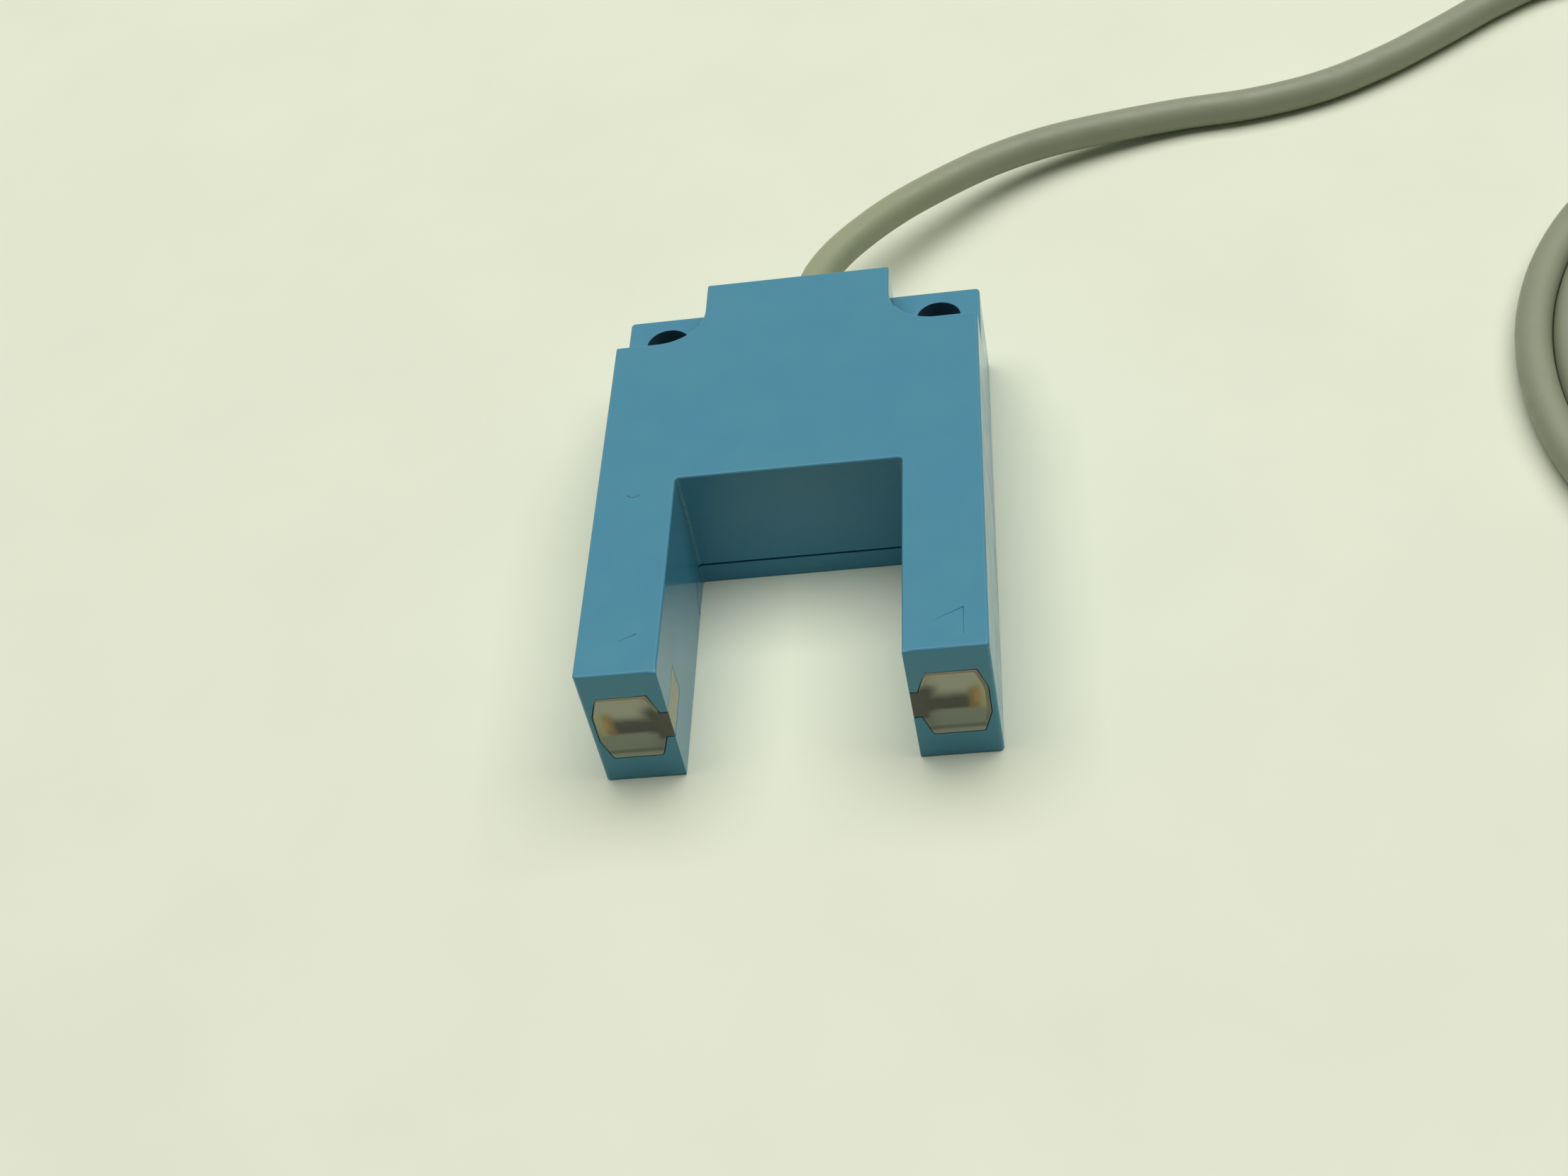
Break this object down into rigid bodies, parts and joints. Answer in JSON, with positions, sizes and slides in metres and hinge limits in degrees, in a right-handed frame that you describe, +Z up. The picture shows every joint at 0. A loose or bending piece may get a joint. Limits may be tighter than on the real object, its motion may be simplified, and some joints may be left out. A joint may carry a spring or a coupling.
{
  "type": "photoelectric vane sensor",
  "caption": "Fork-shaped photoelectric sensor with facing windows across a slot, screw-down ears and a pre-wired cable.",
  "frame": {"origin": "bottom centre of the body, without its cable", "axes": "+Z up from the bottom cover, -Y out of the slot's mouth, +Y out of the neck where the cable leaves"},
  "size_m": [0.2515, 0.1679, 0.02],
  "materials": {
    "body_paint": "satin",
    "seal_rubber": "matte",
    "screw_steel": "satin",
    "window_resin": "satin",
    "black_plastic": "matte",
    "amber_resin": "gloss",
    "red_wire": "satin",
    "blue_wire": "satin",
    "board_laminate": "satin",
    "chip_epoxy": "matte",
    "chip_ceramic": "satin",
    "can_sleeve": "satin",
    "collar_brass": "satin",
    "cable_jacket": "satin",
    "lead_sleeves": "satin",
    "tie_plastic": "satin"
  },
  "bodies": {
    "root": {"housing": "body_paint", "bottom_cover": "body_paint", "cover_gasket": "seal_rubber", "cover_screws": "screw_steel", "emitter_window": "window_resin", "receiver_window": "window_resin", "emitter_shroud": "black_plastic", "receiver_shroud": "black_plastic", "emitter_diode": "amber_resin", "receiver_diode": "amber_resin", "emitter_wires": "red_wire", "receiver_wires": "blue_wire", "circuit_board": "board_laminate", "board_screws": "screw_steel", "amplifier_chip": "chip_epoxy", "output_transistor": "chip_epoxy", "voltage_regulator": "chip_epoxy", "filter_capacitor": "can_sleeve", "chip_resistors": "chip_epoxy", "chip_capacitors": "chip_ceramic", "protection_diode": "chip_epoxy", "board_cores": "lead_sleeves", "cable_bush": "seal_rubber", "cable_collar": "collar_brass", "cable": "cable_jacket", "cable_coil": "cable_jacket", "cable_tail": "cable_jacket", "cable_leads": "lead_sleeves", "coil_tie": "tie_plastic"}
  },
  "joints": []
}
